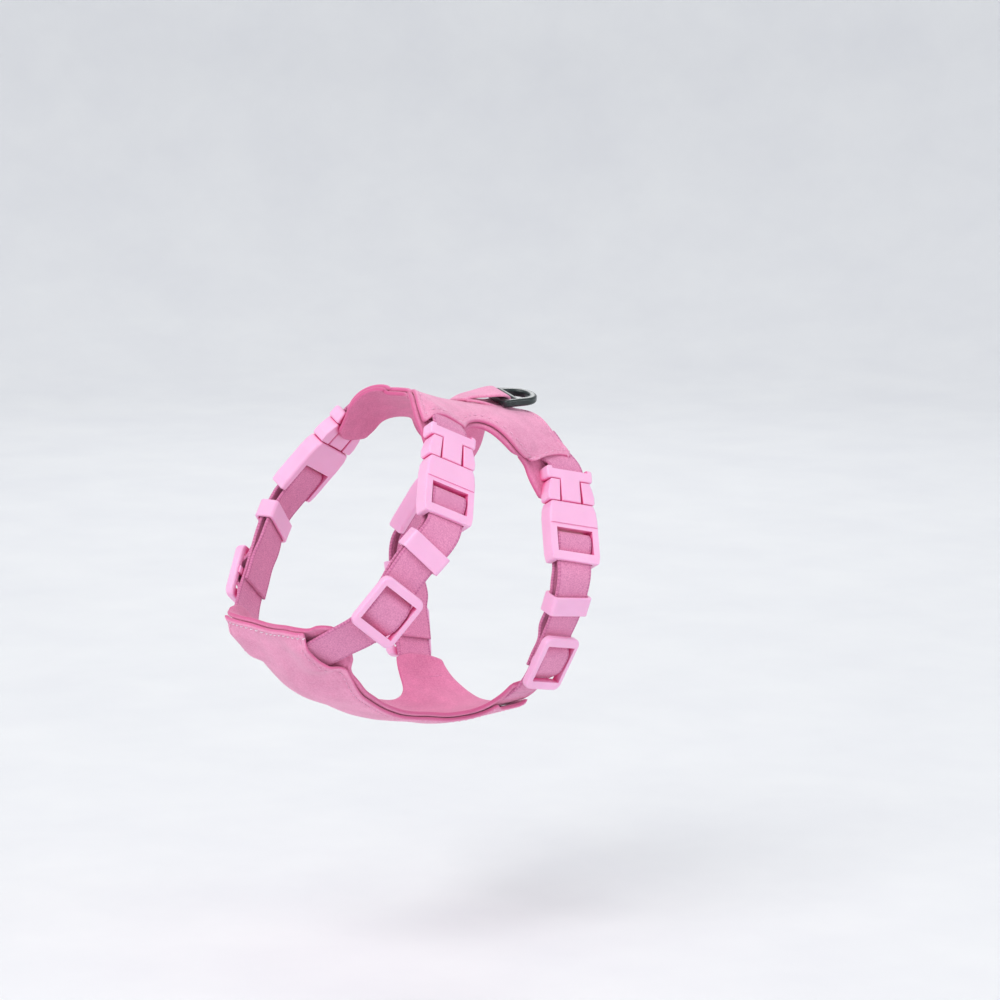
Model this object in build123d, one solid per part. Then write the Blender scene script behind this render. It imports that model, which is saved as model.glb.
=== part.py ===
from build123d import *
import os

# No pull harness for a toy dog. Millimetres, +Z up, the wearer faces -Y and its left side is +X.
# The origin is the centre of the girth opening. Every side piece is built on the left and
# mirrored to the right about the plane X = 0.

# Stock sizes
webbing_width = 15.0
webbing_thick = 1.3
layer_thick = 1.6  # each of a panel's two suede layers
layer_gap = 0.1
buckle_lift = 3.6  # height of a buckle's middle plane over the panel's middle plane

# Side-release buckle, length 38: x across, y down the strap, z off the wearer
buckle_half = 19.0
buckle_width = 20.4
male_thick = 6.0
slot_width = 15.9
cover_start = -17.7  # the plate over the webbing bar starts here, between the side arms
cover_under = 1.3
slot_end = -14.7
webbing_bar = (-17.1, -1.3)  # place of the bar's axis along the buckle, and its height
bar_radius = 0.8
shoulder_end = -13.9  # the male base is at its full width from -buckle_half to here
socket_start = -4.7
mouth_gap = 0.2  # between the male half or a prong and the socket's mouth
socket_thick = 7.0
socket_outline = [(9.3, -4.7), (10.4, -2.0), (10.8, 1.5), (10.8, 15.5), (10.2, 19.0)]
step_y = 4.3  # the socket's outer face steps down here to the strap frame
step_depth = 0.4
window_start = 6.0
crossbar_y = 9.6
crossbar_radius = 1.45
window_end = 15.4
lower_bar_under = 1.65
centre_plate_width = 8.8
prong_outline = [(4.7, -13.7), (8.6, -13.7), (9.6, -11.2), (10.4, -8.0), (10.3, -5.4), (9.6, -4.9), (5.2, -4.9)]
prong_pivot = (6.5, -13.5)
prong_thick = 6.0
tongue_width = 5.0
tongue_thick = 2.0
tongue_tip = 4.0

# Webbing layers, as heights of their middles over the strap's route
outer_rest = 0.8
outer_spread = 1.35
inner_spread = -1.35
crossbar_wrap = crossbar_radius + 0.2 + webbing_thick / 2

# Keeper and tri-glide slider
keeper_size = (18.2, 7.5, 7.6)
keeper_wall = 1.3
slider_size = (20.6, 22.0, 3.2)
slider_bar = 3.5
slider_lift = 3.9
slider_centre_bar = (3.0, 2.0, -1.4)  # length along the strap, thickness, height of its middle
slider_wrap = 4.4

# Leash ring
ring_width = 20.0
ring_wire = 3.0
ring_rounding = 0.95  # of the wire's edges
ring_bow_radius = 8.6
ring_bow_y = 7.4
ring_slot = 2.4
ring_web = 2.0
ring_bar_at = Vector(0, -3.6, 59.2)
ring_bar_along = Vector(0.94, -0.29, -0.13)  # the ring lies turned, with its near end lower
ring_bow_along = Vector(0.29, 0.955, -0.02)
ring_tab_thick = 1.2
ring_tab_width = 13.5
ring_tab_length = 13.0
ring_tab_rise = 1.2  # its sewn end is this far over the bar, because the back slopes

# Left straps: buckle centre, the way it points down the strap, and the way it faces
neck_buckle = (Vector(35.2, -61.6, 39.7), Vector(0.44, -0.48, -0.76), Vector(0.86, 0.0, 0.50))
girth_buckle = (Vector(38.5, -2.3, 17.7), Vector(0.42, -0.30, -0.856), Vector(0.87, -0.09, 0.48))

# Points that each left strap passes below its buckle, the way it arrives, and its last facing
neck_points = [(42, -81.5, 13), (35.5, -95.5, -7), (27.5, -105.5, -18), (18.5, -110.5, -25)]
neck_arrival = (Vector(-0.80, -0.28, -0.40), Vector(0.85, -0.56, -0.68))
girth_points = [(45, -10.5, -14.8), (37, -14, -35.5), (25, -19.5, -51.5)]
girth_arrival = (Vector(-0.90, -0.16, -0.36), Vector(0.60, 0.05, -0.95))
neck_keeper_at = 14.0
neck_slider_at = 39.5
girth_keeper_at = 15.5
girth_slider_at = 39.0
panel_grip = 8.0  # length of strap held between the chest panel's layers
lining_reach = 8.0  # the chest lining goes this much further up a strap than the outer layer

# Back panel: ridge point, its facing, half-way point, and widths at the ridge and the arm's end
neck_arm = (Vector(0, -38, 62.0), Vector(0, 0.30, 0.95), (13, -41, 60.0), 26.0, 18.0)
girth_arm = (Vector(0, -1, 53.8), Vector(0, 0.25, 0.97), (15, 1.5, 50.8), 30.0, 19.0)
saddle = (Vector(0, -20, 58.2), Vector(0, 0.12, 1), (14.5, -21, 55.2), 17.0)
arm_end = -20.8  # along the buckle
lining_end = -11.5

# Chest panel: keel points with the panel's width there, from the top edge to the rear band
keel = [
    ((0, -112, -24.5), 40.0),
    ((0, -105, -33.6), 38.0),
    ((0, -94, -42.8), 34.0),
    ((0, -79, -51), 30.0),
    ((0, -60, -56.7), 29.0),
    ((0, -38, -59.8), 29.0),
    ((0, -22, -60.5), 34.0),
]
chest_centre = (Vector(0, -112, -25.5), Vector(0, -0.85, -0.53))
belly_centre = (Vector(0, -22, -60.3), Vector(0, 0, -1))
chest_band_width = 23.0
rear_band_width = 22.0


def square_to(direction, along):
    """A direction less its part along another, at unit length."""
    along = along.normalized()
    return (direction - along * direction.dot(along)).normalized()


def frame(point, along, facing):
    """A plane on a strap: x across it, y along it, z the way it faces."""
    facing = square_to(facing, along)
    return Plane(origin=point, x_dir=along.cross(facing), z_dir=facing)


def buckle_frame(buckle):
    return frame(*buckle)


class Route:
    """A curve on the wearer's body, with a facing that turns evenly from its start to its end."""

    def __init__(self, points, tangents, facings):
        self.curve = Spline(*points, tangents=tangents)
        self.facings = facings

    def frame_at(self, distance):
        along = self.curve.length
        share = min(max(distance / along, 0), 1)
        tangent = self.curve.tangent_at(share)
        point = self.curve.position_at(share)
        if distance < 0:
            point = point + tangent * distance
        if distance > along:
            point = point + tangent * (distance - along)
        start, end = self.facings
        return frame(point, tangent, start * (1 - share) + end * share)

    def length(self):
        return self.curve.length


def ribbon(route, stations):
    """A flat band along a route. Each station is a distance, a width, a thickness and a lift."""
    sections = []
    for distance, width, thick, lift in stations:
        at = route.frame_at(distance)
        across = Plane(
            origin=at.origin + at.z_dir * lift, x_dir=at.x_dir, z_dir=at.y_dir
        )
        sections.append(across * Rectangle(width, thick))
    return loft(sections, ruled=True)


def even_stations(start, end, count, widths, thick, lift):
    """Stations at even distances, with a width that goes evenly from one value to another."""
    shares = [n / count for n in range(count + 1)]
    return [
        (
            start + (end - start) * s,
            widths[0] + (widths[1] - widths[0]) * s,
            thick,
            lift,
        )
        for s in shares
    ]


def both_sides(left):
    return left + mirror(left, about=Plane.YZ)


def strap_route(buckle, points, arrival):
    end = buckle[0] + buckle[1].normalized() * buckle_half
    heading, facing = arrival
    start_facing = square_to(buckle[2], buckle[1])
    return Route(
        [end, *points], [buckle[1].normalized(), heading.normalized()], [start_facing, facing]
    )


def arm_route(ridge, facing, middle, buckle, end_y):
    """From the ridge of the back down to a place behind a buckle."""
    at = buckle_frame(buckle)
    end = at.origin + at.y_dir * end_y - at.z_dir * buckle_lift
    return Route(
        [ridge, middle, end], [Vector(1, 0, 0), buckle[1].normalized()], [facing, at.z_dir]
    )


def panel_arm(ridge, facing, middle, widths, buckle, end_y, lift):
    route = arm_route(ridge, facing, middle, buckle, end_y)
    stations = even_stations(0, route.length(), 10, widths, layer_thick, lift)
    return ribbon(route, stations)


def saddle_band(lift):
    ridge, facing, side, width = saddle
    end_facing = Vector(0.4, 0.05, 0.9)
    route = Route([ridge, side], [Vector(1, 0, 0), Vector(0.9, 0, -0.42)], [facing, end_facing])
    return ribbon(route, even_stations(0, route.length(), 5, (width, width), layer_thick, lift))


def back_layer(lift, end_y):
    """One layer of the back panel: two neck arms, two girth arms and the saddle between them."""
    left = None
    for (ridge, facing, middle, wide, narrow), buckle in (
        (neck_arm, neck_buckle),
        (girth_arm, girth_buckle),
    ):
        arm = panel_arm(ridge, facing, middle, (wide, narrow), buckle, end_y, lift)
        left = arm if left is None else left + arm
    return both_sides(left + saddle_band(lift))


def keel_band(lift):
    points = [Vector(*p) for p, _ in keel]
    facings = [Vector(0, -0.75, -0.66), Vector(0, 0.02, -1)]
    curve = Spline(*points)
    sections = []
    for (place, width), share in zip(keel, [curve.param_at_point(p) for p in points]):
        tangent = curve.tangent_at(share)
        facing = facings[0] * (1 - share) + facings[1] * share
        at = frame(Vector(*place), tangent, facing)
        across = Plane(origin=at.origin + at.z_dir * lift, x_dir=at.x_dir, z_dir=at.y_dir)
        sections.append(across * Rectangle(width, layer_thick))
    return loft(sections, ruled=True)


def cross_band(route, from_end, centre, centre_facing, width, lift):
    """The chest panel's band from a strap's pocket to the middle, on the left side."""
    start = route.frame_at(route.length() - from_end)
    points = [start.origin, centre]
    half = Route(points, [start.y_dir, Vector(-1, 0, 0)], [start.z_dir, centre_facing])
    return ribbon(half, even_stations(0, half.length(), 5, (width, width), layer_thick, lift))


def chest_layer(lift, reach):
    """One layer of the chest panel: the band across the chest, the keel and the belly band."""
    grip = panel_grip + reach
    chest = cross_band(neck_route, grip, *chest_centre, chest_band_width, lift)
    belly = cross_band(girth_route, grip, *belly_centre, rear_band_width, lift)
    return both_sides(chest) + both_sides(belly) + keel_band(lift)


def rounded_plate(width, length, thick, corner, edge):
    """A plate in the XY plane with round corners and softened edges."""
    plate = extrude(RectangleRounded(width, length, corner), thick / 2, both=True)
    return fillet(plate.edges().filter_by(Plane.XY), edge)


def male_half():
    """The male half: side arms, a cover over its webbing bar, a centre plate and a tongue."""
    half, plate_half = buckle_width / 2, centre_plate_width / 2
    plate_end = socket_start - mouth_gap
    right = [
        (half, -buckle_half),
        (half, shoulder_end),
        (plate_half, shoulder_end),
        (plate_half, plate_end),
    ]
    left = [(-x, y) for x, y in reversed(right)]
    body = extrude(make_face(Polyline(*right, *left, close=True)), male_thick / 2, both=True)
    body = fillet(body.edges().filter_by(Axis.Z).filter_by(lambda e: abs(e.center().X) > 9), 1.2)
    body = fillet(body.edges().filter_by(Plane.XY), 0.9)
    behind = Pos(0, cover_start - 5) * Box(slot_width, 10, 20)
    under_length = slot_end + buckle_half + 1
    under = Pos(0, slot_end - under_length / 2, cover_under - 10) * Box(
        slot_width, under_length, 20
    )
    bar = Pos(0, *webbing_bar) * Rot(0, 90, 0) * Cylinder(bar_radius, slot_width + 2)
    tongue_length = tongue_tip - plate_end + 1
    tongue = Pos(0, tongue_tip - tongue_length / 2) * Box(
        tongue_width, tongue_length, tongue_thick
    )
    tongue = chamfer(tongue.edges().group_by(Axis.Y)[-1], 0.6)
    return body - behind - under + bar + tongue


def prong(side):
    """One sprung prong, with its bulging head beside the centre plate. side is 1 or -1."""
    outline = Polyline(*[(side * x, y) for x, y in prong_outline], close=True)
    head = extrude(make_face(outline), prong_thick / 2, both=True)
    outer = head.edges().filter_by(Axis.Z).filter_by(lambda e: abs(e.center().X) > 8)
    head = fillet(outer, 0.5)
    return fillet(head.edges().group_by(Axis.Z)[-1] + head.edges().group_by(Axis.Z)[0], 0.5)


def socket():
    """The buckle's female half: shouldered body, strap frame, window, crossbar and lower bar."""
    left = [(-x, y) for x, y in reversed(socket_outline)]
    outline = make_face(Polyline(*socket_outline, *left, close=True))
    body = extrude(outline, socket_thick / 2, both=True)
    body = fillet(body.edges().filter_by(Axis.Z), 1.0)
    body = fillet(body.edges().filter_by(Plane.XY), 1.0)
    step = Pos(0, step_y + 10, socket_thick / 2 - step_depth + 5) * Box(30, 20, 10)
    window_length = window_end - window_start
    window = Pos(0, window_start + window_length / 2) * Box(slot_width, window_length, 20)
    under = Pos(0, buckle_half, lower_bar_under - 10) * Box(
        slot_width, 2 * (buckle_half - window_end) + 1, 20
    )
    cavity_length = tongue_tip - socket_start + 0.6
    cavity = Pos(0, socket_start + cavity_length / 2) * Box(
        tongue_width + 0.5, cavity_length, tongue_thick + 0.6
    )
    crossbar = Pos(0, crossbar_y) * Rot(0, 90, 0) * Cylinder(crossbar_radius, buckle_width - 1.6)
    return body - step - window - under - cavity + crossbar


def webbing_tab():
    """The webbing loop that holds a male half to the panel's arm, in the buckle's frame."""
    bar = webbing_bar
    tail_y = -buckle_half - 8
    round_bar = bar_radius + 0.15
    outer = make_hull(
        (
            Pos(*bar) * Circle(round_bar + webbing_thick)
            + Pos(tail_y, -buckle_lift) * Rectangle(0.5, 2 * webbing_thick)
        ).edges()
    )
    inner = make_hull(
        (
            Pos(*bar) * Circle(round_bar)
            + Pos(bar[0] - 3.2, bar[1] - 0.9) * Rectangle(0.2, 0.2)
        ).edges()
    )
    # The profile is drawn with y along X and z along Y, then stood up across the strap.
    upright = Plane(origin=(0, 0, 0), x_dir=(0, 1, 0), z_dir=(1, 0, 0))
    return extrude(upright * (outer - inner), webbing_width / 2, both=True)


def crossbar_fold():
    """The half turn of webbing round the crossbar, in the buckle's frame."""
    upright = Plane(origin=(0, crossbar_y, 0), x_dir=(0, 1, 0), z_dir=(1, 0, 0))
    ring = Circle(crossbar_wrap + webbing_thick / 2) - Circle(crossbar_wrap - webbing_thick / 2)
    half = ring & (Pos(-5, 0) * Rectangle(10, 20))
    return extrude(upright * half, webbing_width / 2, both=True)


def strap(buckle, route, keeper_at, slider_at):
    """One piece of webbing: over the slider, round the socket's crossbar and back to the slider."""
    crossbar_from_end = crossbar_y - buckle_half
    under_bar = window_end - buckle_half - 0.4
    in_panel = route.length()
    outer_lifts = [
        (crossbar_from_end, crossbar_wrap),
        (crossbar_from_end + 1.2, crossbar_wrap),
        (under_bar, outer_rest),
        (0.6, outer_rest),
        (keeper_at - 5, outer_spread),
        (keeper_at, outer_spread),
        (keeper_at + 6, outer_spread),
        (slider_at - 13.5, outer_rest),
        (slider_at - 7.0, outer_rest),
        (slider_at - 2.2, slider_wrap),
        (slider_at + 2.2, slider_wrap),
        (slider_at + 7.0, outer_rest),
        (slider_at + 11.5, 0.4),
        (slider_at + 15, 0.1),
        ((slider_at + 15 + in_panel) / 2, 0.0),
        (in_panel, 0.0),
    ]
    inner_lifts = [
        (crossbar_from_end, -crossbar_wrap),
        (0.6, -crossbar_wrap),
        (keeper_at - 5, inner_spread),
        (keeper_at, inner_spread),
        (keeper_at + 6, inner_spread),
        (slider_at - 13.5, -0.8),
        (slider_at - 6.0, -0.8),
        (slider_at - 1.5, 0.0),
        (slider_at + 2.0, 0.0),
    ]
    layers = [
        ribbon(route, [(d, webbing_width, webbing_thick, lift) for d, lift in lifts])
        for lifts in (outer_lifts, inner_lifts)
    ]
    fold = buckle_frame(buckle).location * crossbar_fold()
    return layers[0] + layers[1] + fold


def keeper():
    """A plastic loop that holds a strap's two layers together."""
    width, length, height = keeper_size
    section = RectangleRounded(width, height, 1.6) - RectangleRounded(
        width - 2 * keeper_wall, height - 2 * keeper_wall, 0.6
    )
    loop = extrude(Plane.XZ * section, length / 2, both=True)
    return chamfer(loop.edges().group_by(Axis.Y)[0] + loop.edges().group_by(Axis.Y)[-1], 0.25)


def slider():
    """A tri-glide: a frame with a recessed centre bar."""
    width, length, thick = slider_size
    plate = rounded_plate(width, length, thick, 3.2, 0.9)
    plate = plate - Box(slot_width, length - 2 * slider_bar, 20)
    bar_length, bar_thick, bar_z = slider_centre_bar
    bar = Pos(0, 0, bar_z) * Box(width - 2.4, bar_length, bar_thick)
    return plate + fillet(bar.edges().filter_by(Axis.X), 0.7)


def ring_plane():
    """The plane that the leash ring lies in: x along its bar, y towards its bow."""
    facing = ring_bar_along.cross(ring_bow_along)
    return Plane(origin=ring_bar_at, x_dir=ring_bar_along, z_dir=facing)


def leash_ring():
    """A D-ring: round bar, slot for the tab, flat cross web and bow."""
    bar_block = RectangleRounded(ring_width, ring_wire, 1.4)
    outline = make_hull((bar_block + Pos(0, ring_bow_y) * Circle(ring_bow_radius)).edges())
    body = extrude(outline, ring_wire / 2, both=True)
    web_start = ring_wire / 2 + ring_slot
    opening = offset(outline, -ring_wire, kind=Kind.INTERSECTION)
    slot = Pos(0, ring_wire / 2 + ring_slot / 2) * Rectangle(ring_tab_width + 0.8, ring_slot)
    beyond = Pos(0, web_start + ring_web + 10) * Rectangle(30, 20)
    body = body - extrude(opening & beyond, 5, both=True) - extrude(slot, 5, both=True)
    body = fillet(body.edges().filter_by(Plane.XY), ring_rounding)
    return ring_plane().location * body


def leash_ring_tab():
    """The suede tab folded over the ring's bar and sewn to the back panel in front of it."""
    round_bar = ring_wire / 2 + 0.4
    fold = Circle(round_bar + ring_tab_thick)
    tail = Pos(-ring_tab_length, ring_tab_rise) * Rectangle(0.5, 2 * ring_tab_thick)
    outer = make_hull((fold + tail).edges())
    inner = make_hull((Circle(round_bar) + Pos(-4.5, 0.8) * Rectangle(0.2, 0.2)).edges())
    at = ring_plane()
    upright = Plane(origin=at.origin, x_dir=at.y_dir, z_dir=at.x_dir)
    return extrude(upright * (outer - inner), ring_tab_width / 2, both=True)


neck_route = strap_route(neck_buckle, neck_points, neck_arrival)
girth_route = strap_route(girth_buckle, girth_points, girth_arrival)
lifts = {"outer": (layer_thick + layer_gap) / 2, "lining": -(layer_thick + layer_gap) / 2}


def side_pieces(name, buckle, route, keeper_at, slider_at):
    """The left side's pieces of the neck or girth strap, by name."""
    at = buckle_frame(buckle).location
    slider_plane = route.frame_at(slider_at)
    slider_plane = slider_plane.offset(slider_lift)
    return {
        f"{name}_webbing_tab": at * webbing_tab(),
        f"{name}_buckle_male": at * male_half(),
        f"{name}_prong_front": at * prong(1),
        f"{name}_prong_rear": at * prong(-1),
        f"{name}_buckle_socket": at * socket(),
        f"{name}_strap": strap(buckle, route, keeper_at, slider_at),
        f"{name}_keeper": route.frame_at(keeper_at).location * keeper(),
        f"{name}_slider": slider_plane.location * slider(),
    }


def all_pieces():
    pieces = {
        "back_panel_outer": back_layer(lifts["outer"], arm_end),
        "back_panel_lining": back_layer(lifts["lining"], lining_end),
        "leash_ring": leash_ring(),
        "leash_ring_tab": leash_ring_tab(),
        "chest_panel_outer": chest_layer(lifts["outer"], 0),
        "chest_panel_lining": chest_layer(lifts["lining"], lining_reach),
    }
    sides = (
        side_pieces("neck_left", neck_buckle, neck_route, neck_keeper_at, neck_slider_at),
        side_pieces("girth_left", girth_buckle, girth_route, girth_keeper_at, girth_slider_at),
    )
    for side in sides:
        for name, piece in side.items():
            pieces[name] = piece
            pieces[name.replace("left", "right")] = mirror(piece, about=Plane.YZ)
    return pieces


if __name__ == "__main__":
    os.makedirs("parts", exist_ok=True)
    for name, piece in all_pieces().items():
        export_step(piece, f"parts/{name}.step")
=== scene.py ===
import math

import bpy
import numpy as np
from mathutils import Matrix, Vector
from mathutils.geometry import delaunay_2d_cdt


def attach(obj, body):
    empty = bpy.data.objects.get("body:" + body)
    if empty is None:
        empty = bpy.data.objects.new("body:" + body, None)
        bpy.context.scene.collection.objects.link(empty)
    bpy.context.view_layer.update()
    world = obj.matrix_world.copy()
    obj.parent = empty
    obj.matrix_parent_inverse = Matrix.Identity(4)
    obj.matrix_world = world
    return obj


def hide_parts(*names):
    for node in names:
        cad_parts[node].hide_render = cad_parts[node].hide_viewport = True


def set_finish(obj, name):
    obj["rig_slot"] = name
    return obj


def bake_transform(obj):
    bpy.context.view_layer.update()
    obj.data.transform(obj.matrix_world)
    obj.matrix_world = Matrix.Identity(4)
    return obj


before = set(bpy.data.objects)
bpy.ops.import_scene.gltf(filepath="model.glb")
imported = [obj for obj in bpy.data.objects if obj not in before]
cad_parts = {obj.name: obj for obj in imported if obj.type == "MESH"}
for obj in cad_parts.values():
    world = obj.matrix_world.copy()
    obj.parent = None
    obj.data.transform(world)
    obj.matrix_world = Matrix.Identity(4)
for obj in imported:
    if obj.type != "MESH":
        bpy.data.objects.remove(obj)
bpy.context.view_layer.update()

# A no pull harness for a toy dog. The helpers work in millimetres in the CAD's frame: +Z up, the
# wearer faces -Y and its left side is +X. Each side piece is built on the left and mirrored.
MM = 0.001
SIDES = {"left": 1, "right": -1}

# Buckles: centre, the way down the strap, the way it faces
BUCKLES = {
    "neck": ((35.2, -61.6, 39.7), (0.44, -0.48, -0.76), (0.86, 0.0, 0.50)),
    "girth": ((38.5, -2.3, 17.7), (0.42, -0.30, -0.856), (0.87, -0.09, 0.48)),
}
BUCKLE_HALF = 19.0  # from a buckle's centre to where its strap's line starts
BUCKLE_LIFT = 3.6  # over the panel's middle plane
MALE_BAR = (-17.1, -1.3)  # place of the bar's axis along the buckle, and its height
MALE_BAR_RADIUS = 0.8
MALE_BAR_GAP = 0.15  # between the bar and the webbing round it
CROSSBAR_Y = 9.6  # place of the socket's crossbar along the buckle
CROSSBAR_WRAP = 2.3  # from the crossbar's axis to the middle of the webbing round it

# Straps below the buckles: points passed, the way they arrive, and their facing there
STRAPS = {
    "neck": (
        [(42, -81.5, 13), (35.5, -95.5, -7), (27.5, -105.5, -18), (18.5, -110.5, -25)],
        (-0.80, -0.28, -0.40),
        (0.85, -0.56, -0.68),
    ),
    "girth": (
        [(45, -10.5, -14.8), (37, -14, -35.5), (25, -19.5, -51.5)],
        (-0.90, -0.16, -0.36),
        (0.60, 0.05, -0.95),
    ),
}
KEEPER_AT = {"neck": 14.0, "girth": 15.5}  # distances down each strap from its buckle
SLIDER_AT = {"neck": 39.5, "girth": 39.0}
STRAP_SLACK = {"neck": 2.1, "girth": 2.9}  # how far under its line the folded webbing hangs
STRAP_SHIFT = {"neck": 3.0, "girth": 0.0}  # how far a strap bends across to go into its mouth
TAB_SHIFT = {"neck": 1.5, "girth": 3.2}  # how far an arm's mouth is in front of its buckle's line
SLIDER_WRAP = 4.4  # height of the webbing's middle over the slider's centre bar
WEBBING_WIDTH = 15.0
WEBBING_THICK = 1.3

# Back panel's two arms: ridge point, the way it faces there, and half-way point
ARMS = {
    "neck": ((0, -38, 62.0), (0, 0.30, 0.95), (13, -41, 60.0)),
    "girth": ((0, -1, 53.8), (0, 0.25, 0.97), (15, 1.5, 50.8)),
}
ARM_END_Y = -20.8  # where an arm ends, along its buckle
NECK_RIDGE_Q = -38.0  # places along the back in the panel's flat pattern
GIRTH_RIDGE_Q = -1.0

# Chest panel: its middle line from the chest to the belly
CHEST_CENTRE = (0, -112, -25.5)
CHEST_FACING = (0, -0.85, -0.53)
KEEL = [
    CHEST_CENTRE,
    (0, -105, -33.6),
    (0, -94, -42.8),
    (0, -79, -51),
    (0, -60, -56.7),
    (0, -38, -59.8),
    (0, -22, -60.3),
]
KEEL_ROUNDNESS = 84.0  # twice the radius that the keel is bent to across its width
CHEST_BLEND = (8, 26)  # where the chest gives way to the keel: start, length
BELLY_BLEND = (34, 24)  # where the keel gives way to the belly: start before its end, length
STRAP_GRIP = 8.0  # how far each strap's line runs on inside the chest panel

# Suede layers
LAYER_THICK = 1.6
LAYER_LIFT = 0.85  # of each layer's middle from the surface between them
OUTER_LIFT = LAYER_LIFT + 0.1
EDGE_ROUND = 0.75
EDGE_ROWS = (0.12, 0.35, 0.75, 1.3, 1.75, 2.0, 2.3, 2.9)  # rows of vertices inside the edge
PAST_EDGE_ROWS = 3.3  # where the even grid starts
OUTLINE_SPACING = 1.1
GRID_SPACING = 1.5

# Sewing: stitches lie in a groove, with the suede plumped up between it and the edge
STITCH_INSET = 2.0
STITCH_PITCH = 2.5
STITCH_LENGTH = 1.75
STITCH_ARCH = 0.4
STITCH_SUNK = 0.36
GROOVE_DEPTH, GROOVE_WIDTH = 0.26, 0.42
PLUMP_HEIGHT, PLUMP_INSET, PLUMP_WIDTH = 0.14, 1.0, 0.6
THREAD_RADIUS = 0.25
THREAD_SIDES = 6
THREAD_STEPS = 5

# Leash ring
RING_BAR_AT = (0, -3.6, 59.2)
RING_BAR_ALONG = (0.94, -0.29, -0.13)
RING_BOW_ALONG = (0.29, 0.955, -0.02)
RING_BAR_RADIUS = 1.5
RING_TAB_WIDTH = 13.5
RING_TAB_THICK = 1.2
RING_TAB_GAP = 0.35  # between the ring's bar and the tab round it
RING_TAB_SEWN = (-3.4, -20.0)  # where the tab's end is sewn down, on the back's flat pattern


def unit(vectors):
    vectors = np.asarray(vectors, float)
    return vectors / np.linalg.norm(vectors, axis=-1, keepdims=True)


def smooth_step(values):
    values = np.clip(values, 0, 1)
    return values * values * (3 - 2 * values)


class Route:
    """A smooth line on the wearer's body, with the way that a strap on it faces."""

    def __init__(self, points, start, end, facings, count=400):
        points = np.array(points, float)
        gaps = np.linalg.norm(np.diff(points, axis=0), axis=1)
        slopes = self.slopes(points, gaps, unit(start), unit(end))
        knots = np.concatenate([[0], np.cumsum(gaps)])
        places = np.linspace(0, knots[-1], count)
        i = np.clip(np.searchsorted(knots, places, "right") - 1, 0, len(gaps) - 1)
        u = ((places - knots[i]) / gaps[i])[:, None]
        gap = gaps[i][:, None]
        self.points = (
            (1 + 2 * u) * (1 - u) ** 2 * points[i]
            + u * (1 - u) ** 2 * gap * slopes[i]
            + u * u * (3 - 2 * u) * points[i + 1]
            + u * u * (u - 1) * gap * slopes[i + 1]
        )
        steps = np.linalg.norm(np.diff(self.points, axis=0), axis=1)
        self.distances = np.concatenate([[0], np.cumsum(steps)])
        self.length = self.distances[-1]
        self.tangents = unit(np.gradient(self.points, self.distances, axis=0))
        self.facings = unit(facings[0]), unit(facings[1])

    @staticmethod
    def slopes(points, gaps, start, end):
        """The slope at each point that makes the line's curvature continuous."""
        count = len(points)
        system = np.eye(count)
        wanted = np.zeros((count, 3))
        wanted[0], wanted[-1] = start, end
        for i in range(1, count - 1):
            before, after = gaps[i - 1], gaps[i]
            system[i, i - 1 : i + 2] = after, 2 * (before + after), before
            step_in = (points[i] - points[i - 1]) / before
            step_out = (points[i + 1] - points[i]) / after
            wanted[i] = 3 * (after * step_in + before * step_out)
        return np.linalg.solve(system, wanted)

    def look_up(self, values, distance):
        return np.stack([np.interp(distance, self.distances, values[:, k]) for k in range(3)], -1)

    def at(self, distance):
        """Points, and unit vectors across, along and out of the strap, at distances along it."""
        distance = np.asarray(distance, float)
        inside = np.clip(distance, 0, self.length)
        along = unit(self.look_up(self.tangents, inside))
        point = self.look_up(self.points, inside) + along * (distance - inside)[..., None]
        share = (inside / self.length)[..., None]
        out = self.facings[0] * (1 - share) + self.facings[1] * share
        out = unit(out - along * np.sum(out * along, -1, keepdims=True))
        return point, np.cross(along, out), along, out


def buckle_axes(part):
    """A buckle's centre, and the unit vectors across it, down its strap and out of it."""
    centre, down, out = (np.array(v, float) for v in BUCKLES[part])
    down = unit(down)
    out = unit(out - down * (out @ down))
    return centre, np.cross(down, out), down, out


def strap_route(part):
    centre, _, down, out = buckle_axes(part)
    points, heading, facing = STRAPS[part]
    return Route([centre + down * BUCKLE_HALF, *points], down, heading, (out, facing))


def arm_route(part):
    centre, _, down, out = buckle_axes(part)
    ridge, facing, middle = ARMS[part]
    end = centre + down * ARM_END_Y - out * BUCKLE_LIFT
    return Route([ridge, middle, end], (1, 0, 0), down, (facing, out))


def band_route(strap, centre, facing):
    """From the middle of the chest panel out to where a strap goes in between its layers."""
    point, _, along, out = strap.at(strap.length - STRAP_GRIP)
    return Route([centre, point], (1, 0, 0), -along, (facing, out))


STRAP_ROUTES = {part: strap_route(part) for part in STRAPS}
ARM_ROUTES = {part: arm_route(part) for part in ARMS}
KEEL_ROUTE = Route(KEEL, (0, 0.53, -0.85), (0, 1, 0), (CHEST_FACING, (0, 0, -1)))
CHEST_BAND = band_route(STRAP_ROUTES["neck"], CHEST_CENTRE, CHEST_FACING)
BELLY_BAND = band_route(STRAP_ROUTES["girth"], KEEL[-1], (0, 0, -1))


def to_side(points, s):
    """Points worked out for the left, put on the side that s is on."""
    points = points.copy()
    points[..., 0] *= np.where(s < 0, -1, 1)
    return points


def back_surface(s, q):
    """The back panel's middle surface: s across the back from its ridge, q towards the tail."""
    s, q = np.asarray(s, float), np.asarray(q, float)
    neck, neck_across, _, _ = ARM_ROUTES["neck"].at(np.abs(s))
    girth, girth_across, _, _ = ARM_ROUTES["girth"].at(np.abs(s))
    share = smooth_step((q - NECK_RIDGE_Q) / (GIRTH_RIDGE_Q - NECK_RIDGE_Q))[..., None]
    by_neck = neck - neck_across * (q - NECK_RIDGE_Q)[..., None]
    by_girth = girth - girth_across * (q - GIRTH_RIDGE_Q)[..., None]
    return to_side((1 - share) * by_neck + share * by_girth, s)


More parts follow.
